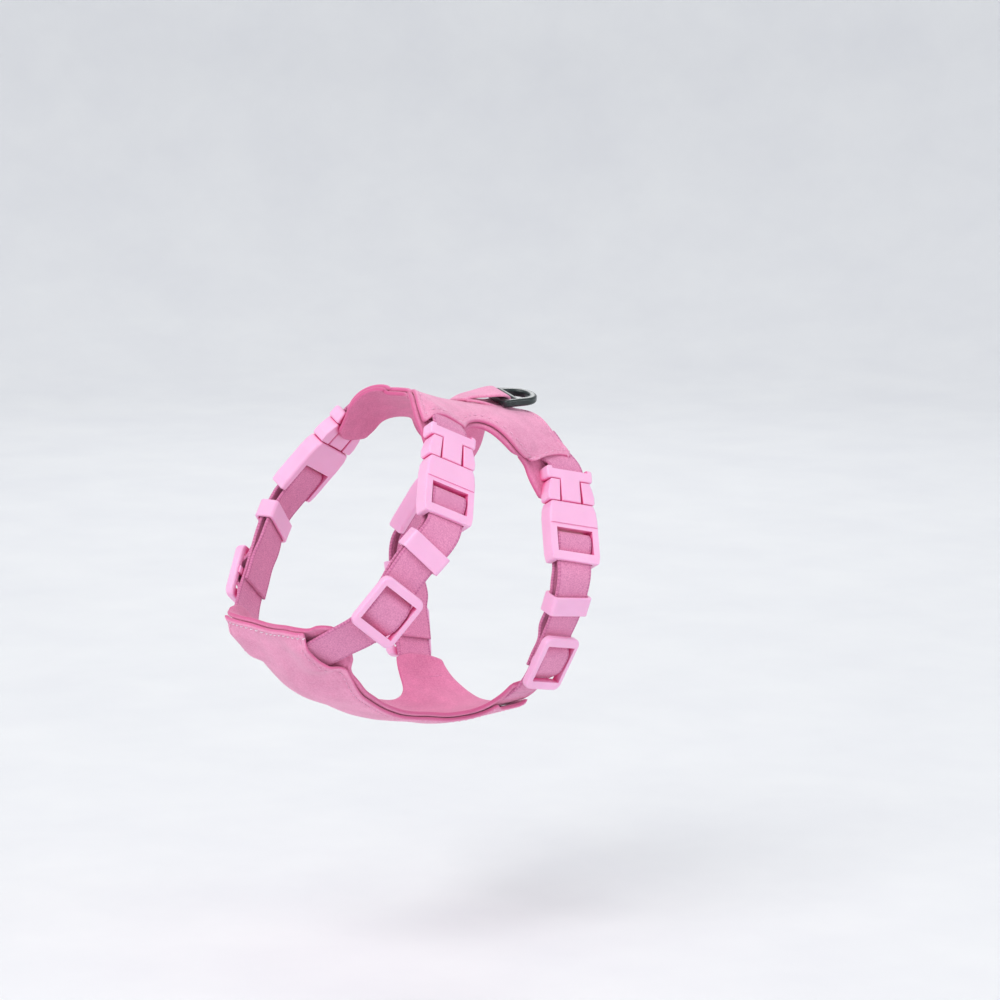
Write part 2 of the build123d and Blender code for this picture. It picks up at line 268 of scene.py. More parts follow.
def chest_surface(s, q):
    """The chest panel's middle surface: s across it from its middle line, q towards the belly."""
    s, q = np.asarray(s, float), np.asarray(q, float)
    a = np.abs(s)
    chest, chest_across, _, _ = CHEST_BAND.at(a)
    belly, belly_across, _, _ = BELLY_BAND.at(a)
    middle, _, _, out = KEEL_ROUTE.at(q)
    sideways = np.stack([a, 0 * a, 0 * a], -1)
    by_keel = middle + sideways - out * (a * a / KEEL_ROUNDNESS)[..., None]
    by_chest = chest + chest_across * q[..., None]
    belly_q = q - KEEL_ROUTE.length
    by_belly = belly + belly_across * belly_q[..., None]
    chest_share = 1 - smooth_step((q - CHEST_BLEND[0]) / CHEST_BLEND[1])[..., None]
    belly_share = smooth_step((belly_q + BELLY_BLEND[0]) / BELLY_BLEND[1])[..., None]
    keel_share = 1 - chest_share - belly_share
    return to_side(chest_share * by_chest + belly_share * by_belly + keel_share * by_keel, s)


def surface_out(surface, s, q, hand):
    """The unit vector out of a surface, away from the wearer. hand is 1 or -1."""
    step = 0.2
    by_s = surface(s + step, q) - surface(s - step, q)
    by_q = surface(s, q + step) - surface(s, q - step)
    return unit(np.cross(by_s, by_q)) * hand


# ---------------------------------------------------------------- meshes


class Shape:
    """Vertices, faces and flat-pattern coordinates that are gathered into one mesh."""

    def __init__(self):
        self.points = []
        self.faces = []
        self.flat = []
        self.count = 0

    def add(self, points, faces, flat=None):
        points = np.asarray(points, float)
        self.points.append(points)
        self.faces += [[v + self.count for v in face] for face in faces]
        self.flat.append(np.zeros((len(points), 2)) if flat is None else np.asarray(flat))
        self.count += len(points)

    def piece(self, name, material, slot, side=1, attribute=None):
        """A Blender object of this shape, mirrored to the right where side is -1."""
        points = np.concatenate(self.points) * MM * (side, 1, 1)
        faces = self.faces if side > 0 else [face[::-1] for face in self.faces]
        mesh = bpy.data.meshes.new(name)
        mesh.from_pydata(points.tolist(), [], faces)
        corners = np.empty(len(mesh.loops), int)
        mesh.loops.foreach_get("vertex_index", corners)
        flat = np.concatenate(self.flat)[corners] * MM
        mesh.uv_layers.new(name="flat").data.foreach_set("uv", flat.ravel())
        if attribute is not None:
            layer = mesh.attributes.new("edge_distance", "FLOAT", "POINT")
            layer.data.foreach_set("value", np.asarray(attribute, np.float32))
        mesh.polygons.foreach_set("use_smooth", [True] * len(mesh.polygons))
        mesh.materials.append(material)
        obj = bpy.data.objects.new(name, mesh)
        bpy.context.scene.collection.objects.link(obj)
        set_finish(obj, slot)
        return obj


def ring_pairs(count):
    """Each place on a closed ring, with the place after it."""
    return list(zip(range(count), [*range(1, count), 0]))


def travelled(line):
    """How far along a line each of its points is."""
    return np.concatenate([[0], np.cumsum(np.linalg.norm(np.diff(line, axis=0), axis=1))])


CURVE_SAMPLES = 1200


def curve_through(points, spacing):
    """Evenly spaced points on a smooth open line through three or more 2-D points."""
    points = np.array(points, float)
    solid = np.column_stack([points, np.zeros(len(points))])
    first, last = solid[1] - solid[0], solid[-1] - solid[-2]
    line = Route(solid, first, last, ((0, 0, 1), (0, 0, 1)), CURVE_SAMPLES)
    count = max(2, round(line.length / spacing) + 1)
    return line.look_up(line.points, np.linspace(0, line.length, count))[:, :2]


def both_halves(runs, spacing):
    """A closed outline from the left half's runs, which go from the middle line back to it."""
    parts = [curve_through(run, spacing)[:-1] for run in runs]
    left = np.concatenate([*parts, [runs[-1][-1]]])
    return np.concatenate([left, left[-2:0:-1] * (-1, 1)])


def edge_distance(places, outline):
    """How far each place in the flat pattern is from the outline."""
    starts, ends = outline, np.roll(outline, -1, axis=0)
    steps = ends - starts
    nearest = np.full(len(places), np.inf)
    for start, step in zip(starts, steps):
        share = np.clip(((places - start) @ step) / (step @ step), 0, 1)
        gap = places - start - share[:, None] * step
        nearest = np.minimum(nearest, np.einsum("ij,ij->i", gap, gap))
    return np.sqrt(nearest)


def inset(outline, distance):
    """Places a distance inside an outline, less those that come too near another stretch."""
    along = unit(np.roll(outline, -1, axis=0) - np.roll(outline, 1, axis=0))
    hand = np.sign(np.sum(np.cross(outline, np.roll(outline, -1, axis=0))))
    inward = np.column_stack([-along[:, 1], along[:, 0]]) * hand
    places = outline + inward * distance
    return places[edge_distance(places, outline) > 0.96 * distance]


def flat_mesh(outline, grid):
    """Triangles over an outline's inside, with rows of vertices beside its edge."""
    rows = [inset(outline, distance) for distance in EDGE_ROWS]
    low, high = outline.min(0), outline.max(0)
    s, q = np.meshgrid(np.arange(low[0], high[0], grid), np.arange(low[1], high[1], grid * 0.87))
    s = s + (np.arange(len(s)) % 2)[:, None] * grid / 2
    middle = np.column_stack([s.ravel(), q.ravel()])
    middle = middle[edge_distance(middle, outline) > PAST_EDGE_ROWS]
    places = [Vector(p) for p in np.concatenate([outline, *rows, middle])]
    found, _, faces, *_ = delaunay_2d_cdt(places, ring_pairs(len(outline)), [], 1, 1e-5)
    return np.array([tuple(p) for p in found]), [list(f) for f in faces]


def ripple(s, q, seed):
    """A slow, small unevenness like that of soft suede, in millimetres."""
    random = np.random.default_rng(seed)
    total = np.zeros_like(s)
    for wavelength, height in ((31, 0.22), (17, 0.13), (9, 0.05)):
        for _ in range(2):
            turn, phase = random.uniform(0, 2 * math.pi, 2)
            along = s * math.cos(turn) + q * math.sin(turn)
            total += height / 2 * np.sin(2 * math.pi * along / wavelength + phase)
    return total


def suede_panel(name, surface, hand, runs, lift, raised, seed, material):
    """One suede layer: a closed sheet with rounded edges and a sewn groove beside them."""
    outline = both_halves(runs, OUTLINE_SPACING)
    places, faces = flat_mesh(outline, GRID_SPACING)
    s, q = places[:, 0], places[:, 1]
    distance = edge_distance(places, outline)
    rounding = np.sqrt(1 - (1 - np.clip(distance / EDGE_ROUND, 0, 1)) ** 2)
    half = LAYER_THICK / 2 * rounding
    groove = GROOVE_DEPTH * np.exp(-(((distance - STITCH_INSET) / GROOVE_WIDTH) ** 2))
    plump = PLUMP_HEIGHT * np.exp(-(((distance - PLUMP_INSET) / PLUMP_WIDTH) ** 2))
    middle = lift + raised(s, q) + ripple(s, q, seed)
    out = surface_out(surface, s, q, hand)
    base = surface(s, q)
    top = base + out * (middle + half - groove + plump)[:, None]
    bottom = base + out * (middle - half)[:, None]
    edge = distance < 1e-3
    top[edge] = bottom[edge] = (base + out * middle[:, None])[edge]
    count = len(places)
    under = np.arange(count) + count
    under[edge] = np.arange(count)[edge]
    turned = np.sign(np.cross(*(places[faces[0]][1:] - places[faces[0]][0]))) * hand
    upper = faces if turned > 0 else [f[::-1] for f in faces]
    lower = [[under[v] for v in f[::-1]] for f in upper]
    used = np.unique(np.concatenate([np.ravel(upper), np.ravel(lower)]))
    renumber = np.zeros(2 * count, int)
    renumber[used] = np.arange(len(used))
    shape = Shape()
    points = np.concatenate([top, bottom])[used]
    flat = np.concatenate([places, places])[used]
    shape.add(points, [[int(renumber[v]) for v in f] for f in upper + lower], flat)
    return shape.piece(name, material, "suede", 1, np.concatenate([distance, distance])[used])


def webbing_section():
    """Half-round edged section of the webbing, with a raised selvedge near each edge."""
    half, thick = WEBBING_WIDTH / 2, WEBBING_THICK / 2
    right = [
        (0, thick),
        (2.5, thick),
        (5.0, thick),
        (6.1, thick),
        (6.4, thick - 0.09),
        (6.7, thick + 0.02),
        (7.1, thick - 0.03),
        (half - 0.12, thick * 0.6),
        (half, 0),
    ]
    over = right + [(x, -z) for x, z in right[-2::-1]]
    return np.array(over + [(-x, z) for x, z in over[-2:0:-1]])


def strip(shape, route, path, section, spacing, sideways=None):
    """Webbing or a suede strip whose middle follows a path of (distance, height) over a route.
    sideways gives how far it is shifted across at each distance."""
    line = curve_through(path, spacing)
    steps = unit(np.gradient(line, axis=0))
    point, across, along, out = route.at(line[:, 0])
    middle = point + out * line[:, 1:]
    if sideways is not None:
        middle = middle + across * sideways(line[:, 0])[:, None]
    face = out * steps[:, :1] - along * steps[:, 1:]
    gone = travelled(line)
    rings, flat = [], []
    for x, z in section:
        rings.append(middle + across * x + face * z)
        flat.append(np.column_stack([np.full(len(line), x), gone]))
    points = np.stack(rings, 1).reshape(-1, 3)
    flat = np.stack(flat, 1).reshape(-1, 2)
    around, rows = len(section), len(line)
    faces = [
        [i * around + j, (i + 1) * around + j, (i + 1) * around + k, i * around + k]
        for i in range(rows - 1)
        for j, k in ring_pairs(around)
    ]
    faces.append(list(range(around)))
    faces.append([(rows - 1) * around + j for j in reversed(range(around))])
    shape.add(points, faces, flat)


def stitches(name, surface, hand, runs, lift, raised, seed, material):
    """A row of sewn stitches along an outline's runs, each a small bent capsule of thread."""
    shape = Shape()
    for run in runs:
        left = curve_through(run, 0.5)
        for line in (left, left[::-1] * (-1, 1)):
            along = unit(np.gradient(line, axis=0))
            row = line + np.column_stack([-along[:, 1], along[:, 0]]) * STITCH_INSET
            add_stitches(shape, row, surface, hand, lift, raised, seed)
    return shape.piece(name, material, "suede")


def add_stitches(shape, row, surface, hand, lift, raised, seed):
    gone = travelled(row)
    count = int(gone[-1] / STITCH_PITCH)
    sides, steps = THREAD_SIDES, THREAD_STEPS
    share = np.linspace(0, 1, steps + 1)
    for n in range(count):
        start = (n + 0.5) * gone[-1] / count - STITCH_LENGTH / 2
        at = start + share * STITCH_LENGTH
        s, q = np.interp(at, gone, row[:, 0]), np.interp(at, gone, row[:, 1])
        base, out = surface(s, q), surface_out(surface, s, q, hand)
        arch = np.sin(share * math.pi) * STITCH_ARCH - STITCH_SUNK
        height = lift + LAYER_THICK / 2 + raised(s, q) + ripple(s, q, seed) + arch
        middle = base + out * height[:, None]
        along = unit(np.gradient(middle, axis=0))
        across = np.cross(along, out)
        radius = THREAD_RADIUS * (0.55 + 0.45 * np.sin(share * math.pi))
        turns = np.arange(sides) * 2 * math.pi / sides
        rings = [
            middle + (across * math.cos(t) + out * math.sin(t)) * radius[:, None] for t in turns
        ]
        points = np.stack(rings, 1).reshape(-1, 3)
        faces = [
            [i * sides + j, i * sides + k, (i + 1) * sides + k, (i + 1) * sides + j]
            for i in range(steps)
            for j, k in ring_pairs(sides)
        ]
        faces.append(list(reversed(range(sides))))
        faces.append([steps * sides + j for j in range(sides)])
        shape.add(points, faces)


# ---------------------------------------------------------------- materials


def material(name):
    made = bpy.data.materials.new(name)
    made.use_nodes = True
    nodes = made.node_tree.nodes
    return made, nodes, made.node_tree.links, nodes["Principled BSDF"]


def add_node(nodes, kind, inputs=None, **settings):
    node = nodes.new(kind)
    for key, value in settings.items():
        setattr(node, key, value)
    for key, value in (inputs or {}).items():
        node.inputs[key].default_value = value
    return node


def noise(nodes, links, source, scale, detail=3.0, roughness=0.6):
    made = add_node(
        nodes,
        "ShaderNodeTexNoise",
        {"Scale": scale, "Detail": detail, "Roughness": roughness},
    )
    links.new(source, made.inputs["Vector"])
    return made.outputs["Fac"]


def ramp(nodes, links, source, low, high, colours):
    made = nodes.new("ShaderNodeValToRGB")
    made.color_ramp.elements[0].position = low
    made.color_ramp.elements[1].position = high
    made.color_ramp.elements[0].color = (*colours[0], 1)
    made.color_ramp.elements[1].color = (*colours[1], 1)
    links.new(source, made.inputs["Fac"])
    return made.outputs["Color"]


def mix(nodes, links, kind, share, first, second):
    made = add_node(nodes, "ShaderNodeMix", data_type="RGBA", blend_type=kind)
    factor, first_colour, second_colour = made.inputs[0], made.inputs[6], made.inputs[7]
    for socket, value in ((factor, share), (first_colour, first), (second_colour, second)):
        if isinstance(value, bpy.types.NodeSocket):
            links.new(value, socket)
        else:
            socket.default_value = value if isinstance(value, float) else (*value, 1)
    return made.outputs[2]


def bump(nodes, links, height, strength, distance, previous=None):
    made = add_node(nodes, "ShaderNodeBump", {"Strength": strength, "Distance": distance})
    links.new(height, made.inputs["Height"])
    if previous is not None:
        links.new(previous, made.inputs["Normal"])
    return made.outputs["Normal"]


def math_node(nodes, links, operation, first, second=None):
    made = add_node(nodes, "ShaderNodeMath", operation=operation)
    for socket, value in zip(made.inputs, (first, second)):
        if isinstance(value, bpy.types.NodeSocket):
            links.new(value, socket)
        elif value is not None:
            socket.default_value = value
    return made.outputs[0]


def suede(name, light, dark, edge):
    """Short felted suede: fine speckle, soft nap, and painted shade that darkens its edges."""
    made, nodes, links, shader = material(name)
    place = nodes.new("ShaderNodeTexCoord").outputs["Object"]
    fibre = noise(nodes, links, place, 1500, 4, 0.75)
    nap = noise(nodes, links, place, 160, 3)
    broad = noise(nodes, links, place, 38, 2)
    colour = ramp(nodes, links, fibre, 0.34, 0.66, (dark, light))
    worn = ramp(nodes, links, nap, 0.35, 0.7, ((0.90, 0.86, 0.88), (1.05, 1.05, 1.05)))
    colour = mix(nodes, links, "MULTIPLY", 0.8, colour, worn)
    patches = ramp(nodes, links, broad, 0.3, 0.7, ((0.93, 0.90, 0.92), (1.04, 1.04, 1.04)))
    colour = mix(nodes, links, "MULTIPLY", 0.7, colour, patches)
    # Painted shade: the edge colour darkens the rim within half a millimetre of each edge.
    distance = add_node(nodes, "ShaderNodeAttribute", attribute_name="edge_distance")
    painted_edge_shade = ramp(nodes, links, distance.outputs["Fac"], 0.02, 0.5, ((1, 1, 1), (0, 0, 0)))
    colour = mix(nodes, links, "MIX", painted_edge_shade, colour, edge)
    links.new(colour, shader.inputs["Base Color"])
    rough = ramp(nodes, links, nap, 0.3, 0.7, ((0.82,) * 3, (0.98,) * 3))
    links.new(rough, shader.inputs["Roughness"])
    shader.inputs["Specular IOR Level"].default_value = 0.25
    shader.inputs["Sheen Weight"].default_value = 0.35
    shader.inputs["Sheen Roughness"].default_value = 0.5
    shader.inputs["Sheen Tint"].default_value = (1.0, 0.80, 0.90, 1)
    pile = bump(nodes, links, fibre, 0.30, 0.0004)
    links.new(bump(nodes, links, nap, 0.16, 0.0008, pile), shader.inputs["Normal"])
    return made


# Weave of the webbing, in metres: yarns across it, picks and edge ribs along it
YARN_PITCH = 0.00062
PICK_PITCH = 0.00078
RIB_PITCH = 0.0012
RIBS_FROM = 0.0064  # from the webbing's middle


def woven(name, light, dark):
    """Flat woven webbing: a fine twill of raised yarns, ribbed at both edges."""
    made, nodes, links, shader = material(name)
    flat = nodes.new("ShaderNodeUVMap").outputs["UV"]
    parts = nodes.new("ShaderNodeSeparateXYZ")
    links.new(flat, parts.inputs["Vector"])
    across, along = parts.outputs["X"], parts.outputs["Y"]
    yarn = math_node(nodes, links, "MULTIPLY", across, 2 * math.pi / YARN_PITCH)
    pick = math_node(nodes, links, "MULTIPLY", along, 2 * math.pi / PICK_PITCH)
    twill = math_node(nodes, links, "SINE", math_node(nodes, links, "ADD", yarn, pick))
    warp = math_node(nodes, links, "SINE", yarn)
    weft = math_node(nodes, links, "SINE", pick)
    weave = math_node(nodes, links, "ADD", math_node(nodes, links, "MULTIPLY", warp, weft), twill)
    off_middle = math_node(nodes, links, "ABSOLUTE", across)
    at_edge = math_node(nodes, links, "GREATER_THAN", off_middle, RIBS_FROM)
    rib_turn = math_node(nodes, links, "MULTIPLY", along, 2 * math.pi / RIB_PITCH)
    ribs = math_node(nodes, links, "MULTIPLY", math_node(nodes, links, "SINE", rib_turn), at_edge)
    height = math_node(nodes, links, "ADD", weave, math_node(nodes, links, "MULTIPLY", ribs, 1.6))
    place = nodes.new("ShaderNodeTexCoord").outputs["Object"]
    fibre = noise(nodes, links, place, 1900, 4, 0.75)
    broad = noise(nodes, links, place, 60, 2)
    # Painted light and shade: the weave's height lightens the raised yarns and darkens the
    # hollows, over a real fibre speckle.
    raised = math_node(nodes, links, "MULTIPLY", height, 0.055)
    speck_and_weave_shade = math_node(nodes, links, "ADD", fibre, raised)
    colour = ramp(nodes, links, speck_and_weave_shade, 0.34, 0.70, (dark, light))
    patches = ramp(nodes, links, broad, 0.3, 0.7, ((0.93, 0.90, 0.93), (1.03, 1.03, 1.03)))
    colour = mix(nodes, links, "MULTIPLY", 0.8, colour, patches)
    shaded = mix(nodes, links, "MULTIPLY", 1.0, colour, (0.86, 0.74, 0.82))
    colour = mix(nodes, links, "MIX", at_edge, colour, shaded)
    links.new(colour, shader.inputs["Base Color"])
    links.new(
        ramp(nodes, links, fibre, 0.3, 0.7, ((0.68,) * 3, (0.88,) * 3)), shader.inputs["Roughness"]
    )
    shader.inputs["Specular IOR Level"].default_value = 0.3
    shader.inputs["Sheen Weight"].default_value = 0.22
    shader.inputs["Sheen Tint"].default_value = (1.0, 0.85, 0.95, 1)
    grain = bump(nodes, links, fibre, 0.25, 0.0003)
    links.new(bump(nodes, links, height, 0.30, 0.00012, grain), shader.inputs["Normal"])
    return made


def moulded_plastic(name, colour, recess_shade):
    """Satin moulded acetal with a faint texture, and painted shade of a deeper pink in its
    hollows.
    """
    made, nodes, links, shader = material(name)
    place = nodes.new("ShaderNodeTexCoord").outputs["Object"]
    grain = noise(nodes, links, place, 900, 3)
    flow = noise(nodes, links, place, 70, 2)
    hidden = add_node(nodes, "ShaderNodeAmbientOcclusion", {"Distance": 0.0035}, samples=8)
    # Painted shade: where ambient occlusion finds a hollow, the colour turns to the deeper pink.
    painted_recess_shade = ramp(nodes, links, hidden.outputs["AO"], 0.25, 0.85, ((1, 1, 1), (0, 0, 0)))
    varied = ramp(nodes, links, flow, 0.3, 0.7, ((0.95, 0.92, 0.94), (1.0, 1.0, 1.0)))
    base = mix(nodes, links, "MULTIPLY", 1.0, varied, colour)
    links.new(mix(nodes, links, "MIX", painted_recess_shade, base, recess_shade), shader.inputs["Base Color"])
    links.new(
        ramp(nodes, links, grain, 0.3, 0.7, ((0.34,) * 3, (0.46,) * 3)), shader.inputs["Roughness"]
    )
    shader.inputs["Subsurface Weight"].default_value = 0.18
    shader.inputs["Subsurface Radius"].default_value = (1.0, 0.35, 0.6)
    shader.inputs["Subsurface Scale"].default_value = 0.0015
    shader.inputs["Coat Weight"].default_value = 0.12
    shader.inputs["Coat Roughness"].default_value = 0.25
    rough = bump(nodes, links, grain, 0.06, 0.0002)
    links.new(bump(nodes, links, flow, 0.10, 0.0004, rough), shader.inputs["Normal"])
    return made


def painted_metal(name, paint, worn):
    """Painted cast metal, rubbed a little brighter on its edges."""
    made, nodes, links, shader = material(name)
    place = nodes.new("ShaderNodeTexCoord").outputs["Object"]
    grain = noise(nodes, links, place, 700, 4)
    patches = noise(nodes, links, place, 120, 3)
    edges = nodes.new("ShaderNodeNewGeometry").outputs["Pointiness"]
    rubbed = ramp(nodes, links, edges, 0.52, 0.62, ((0, 0, 0), (1, 1, 1)))
    rubbed = mix(nodes, links, "MULTIPLY", 1.0, rubbed, patches)
    links.new(mix(nodes, links, "MIX", rubbed, paint, worn), shader.inputs["Base Color"])
    rough = ramp(nodes, links, patches, 0.3, 0.7, ((0.26,) * 3, (0.42,) * 3))
    links.new(rough, shader.inputs["Roughness"])
    shader.inputs["Metallic"].default_value = 0.25
    shader.inputs["Coat Weight"].default_value = 0.3
    links.new(bump(nodes, links, grain, 0.10, 0.0002), shader.inputs["Normal"])
    return made


def thread(name, light, dark):
    """Twisted sewing thread."""
    made, nodes, links, shader = material(name)
    place = nodes.new("ShaderNodeTexCoord").outputs["Object"]
    twist = noise(nodes, links, place, 2600, 2)
    links.new(ramp(nodes, links, twist, 0.3, 0.7, (dark, light)), shader.inputs["Base Color"])
    shader.inputs["Roughness"].default_value = 0.7
    shader.inputs["Sheen Weight"].default_value = 0.3
    links.new(bump(nodes, links, twist, 0.3, 0.0002), shader.inputs["Normal"])
    return made


# Painted shade: the third colour of each suede is the darker colour put on its edges.
SUEDE_OUTER = suede("suede_outer", (0.96, 0.44, 0.64), (0.82, 0.28, 0.47), (0.74, 0.16, 0.35))
# Painted shade: the lining is the outer suede made darker, for the shade it lies in under the
# outer layer.
SHADED_SUEDE_LINING = suede("suede_lining_painted_shade", (0.86, 0.30, 0.50), (0.72, 0.19, 0.37), (0.68, 0.13, 0.30))
WEBBING = woven("webbing_mauve", (0.95, 0.40, 0.61), (0.66, 0.20, 0.39))
# Painted shade: the buckle plastic's second colour is the deeper pink of its shaded hollows.
PLASTIC = moulded_plastic("buckle_pink", (1.0, 0.52, 0.78), (0.88, 0.07, 0.30))
RING_PAINT = painted_metal("ring_black", (0.018, 0.030, 0.030), (0.09, 0.12, 0.12))
PINK_THREAD = thread("thread_pink", (0.95, 0.52, 0.70), (0.80, 0.34, 0.55))
WHITE_THREAD = thread("thread_pale", (0.98, 0.88, 0.93), (0.92, 0.70, 0.80))


# ---------------------------------------------------------------- panels

# Left halves of the flat patterns, from the middle line in front to the middle line behind. A
# mouth is where a panel takes in a strap or a webbing tab.
BACK_FRONT = [(0, -51), (10, -53.5), (20, -54), (27, -51.5), (30.5, -48.2)]
BACK_NECK_MOUTH = [(30.5, -48.2), (28.2, -45), (26.3, -41.5), (24.8, -37), (23.6, -32.2)]
BACK_ARCH = [
    (23.6, -32.2),
    (18.6, -31.2),
    (15.6, -28.6),
    (14.8, -24.8),
    (16.6, -20.9),
    (20.8, -17.4),
    (27, -14.6),
    (33.5, -12),
]
BACK_GIRTH_MOUTH = [(33.5, -12), (31.6, -8.8), (31.6, -5.4), (32.4, -1.5), (34, 3.4)]
BACK_REAR = [(34, 3.4), (25, 2.4), (16.5, 3.4), (8, 5.5), (0, 6.8)]
BACK_OUTER = [BACK_FRONT, BACK_NECK_MOUTH, BACK_ARCH, BACK_GIRTH_MOUTH, BACK_REAR]

BACK_LINING = [
    [(0, -52), (10, -54.6), (20, -55.2), (27, -52.8), (32, -49.2), (39, -45.5)],
    [(39, -45.5), (40.4, -41), (39.5, -36), (37, -32)],
    [(37, -32), (29, -31.4), (21.8, -31), (17.6, -29.2), (16, -25), (17.8, -21.6)]
    + [(21.6, -18.4), (27.4, -15.8), (34, -13.3), (42, -11.6), (49.5, -9)],
    [(49.5, -9), (50.6, -4), (49.5, 2)],
    [(49.5, 2), (41, 4), (34, 4.6), (25, 3.6), (16.5, 4.6), (8, 6.7), (0, 8)],
]

CHEST_TOP = [(0, -14.2), (8, -15.4), (15.5, -15.9), (24, -15.1)]
CHEST_MOUTH = [(24, -15.1), (22.4, -11), (21.4, -6), (21.4, -1.5)]
CHEST_MOUTH += [(22.3, 3), (23.3, 6.4), (24.4, 9.5)]
CHEST_SIDE = [(24.4, 9.5), (22.8, 16), (20.4, 26), (18.4, 36), (16, 48), (14.6, 62), (14.4, 76)]
CHEST_SIDE += [(15.6, 84), (19.5, 89.5), (26.5, 91.5)]
BELLY_MOUTH = [(26.5, 91.5), (24.8, 95.5), (24.2, 101), (24.8, 106.5), (26.5, 110.5)]
BELLY_REAR = [(26.5, 110.5), (18, 112), (8, 112.6), (0, 112.6)]
CHEST_OUTER = [CHEST_TOP, CHEST_MOUTH, CHEST_SIDE, BELLY_MOUTH, BELLY_REAR]

CHEST_LINING = [
    [(0, -15.1), (8, -16.3), (15.5, -16.6), (22.6, -15.7), (28.6, -13)],
    [(28.6, -13), (32.4, -8.4), (33, -2), (31, 4), (28, 9)],
    [(28, 9), (24.8, 12), (23.4, 18), (21.6, 27), (19.6, 37), (17.2, 49), (15.8, 62)]
    + [(15.6, 75), (17, 82.6), (21, 87.4), (28, 89.8), (36, 91)],
    [(36, 91), (37.8, 96), (38.2, 102), (37.4, 107.5), (36, 111.5)],
    [(36, 111.5), (27, 112.4), (18, 113.4), (8, 114), (0, 114)],
]


def swell(s, q, places, half_width, slope, reach):
    """Height over straps that run across the panel at each place: middle, start, full height."""
    total = 0
    for middle, start, height in places:
        beside = 1 - smooth_step((np.abs(q - middle) - half_width) / slope)
        total = total + height * beside * smooth_step((np.abs(s) - start) / reach)
    return total


def tab_bumps(s, q):
    """How far the back's outer layer is raised over the webbing tabs sewn under it."""
    return swell(s, q, ((-39.5, 19.0, 1.5), (-4.3, 26.0, 1.7)), 6.5, 2.2, 7)


def strap_bumps(s, q):
    """How far the chest's outer layer stands off the strap ends that go in under it."""
    return swell(s, q, ((-3.0, 7.0, 2.6), (101.0, 17.0, 1.6)), 5.5, 5.5, 12)


def lining_dip(s, q):
    """How far the chest's lining lies under its own surface where a neck strap passes over it."""
    return swell(s, q, ((-3.0, 15, -1.1),), 8.0, 4.0, 8)


def level(s, q):
    """A layer that isn't raised anywhere."""
    return np.zeros_like(s)


def build_panels():
    back = suede_panel(
        "back_outer", back_surface, 1, BACK_OUTER, OUTER_LIFT, tab_bumps, 3, SUEDE_OUTER
    )
    lining = suede_panel(
        "back_lining", back_surface, 1, BACK_LINING, -LAYER_LIFT, level, 3, SHADED_SUEDE_LINING
    )
    chest = suede_panel(
        "chest_outer", chest_surface, -1, CHEST_OUTER, OUTER_LIFT, strap_bumps, 5, SUEDE_OUTER
    )
    chest_lining = suede_panel(
        "chest_lining", chest_surface, -1, CHEST_LINING, -LAYER_LIFT, lining_dip, 5, SHADED_SUEDE_LINING
    )
    for piece, node in (
        (back, "back_panel_outer"),
        (lining, "back_panel_lining"),
        (chest, "chest_panel_outer"),
        (chest_lining, "chest_panel_lining"),
    ):
        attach(piece, "harness")
        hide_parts(node)
    rows = (
        ("back_stitches", back_surface, 1, BACK_OUTER, tab_bumps, 3, PINK_THREAD),
        ("chest_stitches", chest_surface, -1, CHEST_OUTER[1:], strap_bumps, 5, PINK_THREAD),
        ("chest_top_stitches", chest_surface, -1, [CHEST_TOP], strap_bumps, 5, WHITE_THREAD),
    )
    for name, surface, hand, runs, raised, seed, made_of in rows:
        piece = stitches(name, surface, hand, runs, OUTER_LIFT, raised, seed, made_of)
        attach(piece, "harness")


# ---------------------------------------------------------------- straps


HALF_TURN_STEPS = 6


def half_turn(centre, height, radius):
    """Points of a half circle in (distance, height), from above round the front to below."""
    angles = [math.pi * n / HALF_TURN_STEPS for n in range(HALF_TURN_STEPS + 1)]
    return [(centre - radius * math.sin(a), height + radius * math.cos(a)) for a in angles]


def build_strap(part, side):
    """One strap: from the panel, under the slider, round the socket's crossbar and back."""
    name = f"{part}_{side}"
    route, keeper, slider = STRAP_ROUTES[part], KEEPER_AT[part], SLIDER_AT[part]
    crossbar = CROSSBAR_Y - BUCKLE_HALF
    slack = STRAP_SLACK[part]
    over = [
        (route.length + 2, 0.0),
        (route.length - 8, 0.1),
        (slider + 16, 0.2),
        (slider + 10, 0.75),
        (slider, 0.8),
        (slider - 10, 0.8),
        (keeper + 8, 1.15),
        (keeper, 1.4),
        (keeper - 7, 1.2),
        (0.5, 0.82),
        (-3.6, 0.8),
        (-6.4, 1.9),
    ]
    under = [
        (-5.5, -2.5),
        (1.5, -2.7),
        (keeper * 0.5, -slack),
        (keeper, -1.4),
        ((keeper + slider) / 2, -slack * 0.7),
        (slider - 9, -0.85),
        (slider - 2, -0.7),
        (slider + 4, -0.6),
    ]
    path = over + half_turn(crossbar, 0, CROSSBAR_WRAP) + under
    bend_start, bend_end = slider + 9, route.length - 2
    shape = Shape()
    strip(
        shape,
        route,
        path,
        webbing_section(),
        0.8,
        lambda d: STRAP_SHIFT[part] * smooth_step((d - bend_start) / (bend_end - bend_start)),
    )
    piece = shape.piece(f"{name}_webbing", WEBBING, "webbing", SIDES[side])
    mirror = np.array((SIDES[side], 1, 1)) * MM
    start = route.at(slider - 12)[0] * mirror
    end = route.at(2.0)[0] * mirror
    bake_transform(piece)
    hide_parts(f"{name}_strap")


def build_hump(part, side):
    """The strap where it goes over the slider's centre bar; it moves with the slider."""
    name = f"{part}_{side}"
    at = SLIDER_AT[part]
    rise = [(-10.6, 0.97), (-7.6, 1.5), (-5.2, 3.1), (-2.8, SLIDER_WRAP - 0.1)]
    path = rise + [(0, SLIDER_WRAP)] + [(-d, h) for d, h in reversed(rise)]
    shape = Shape()
    strip(shape, STRAP_ROUTES[part], [(at + d, h) for d, h in path], webbing_section(), 0.6)
    piece = shape.piece(f"{name}_webbing_over_bar", WEBBING, "webbing", SIDES[side])
    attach(piece, f"{name}_slider")


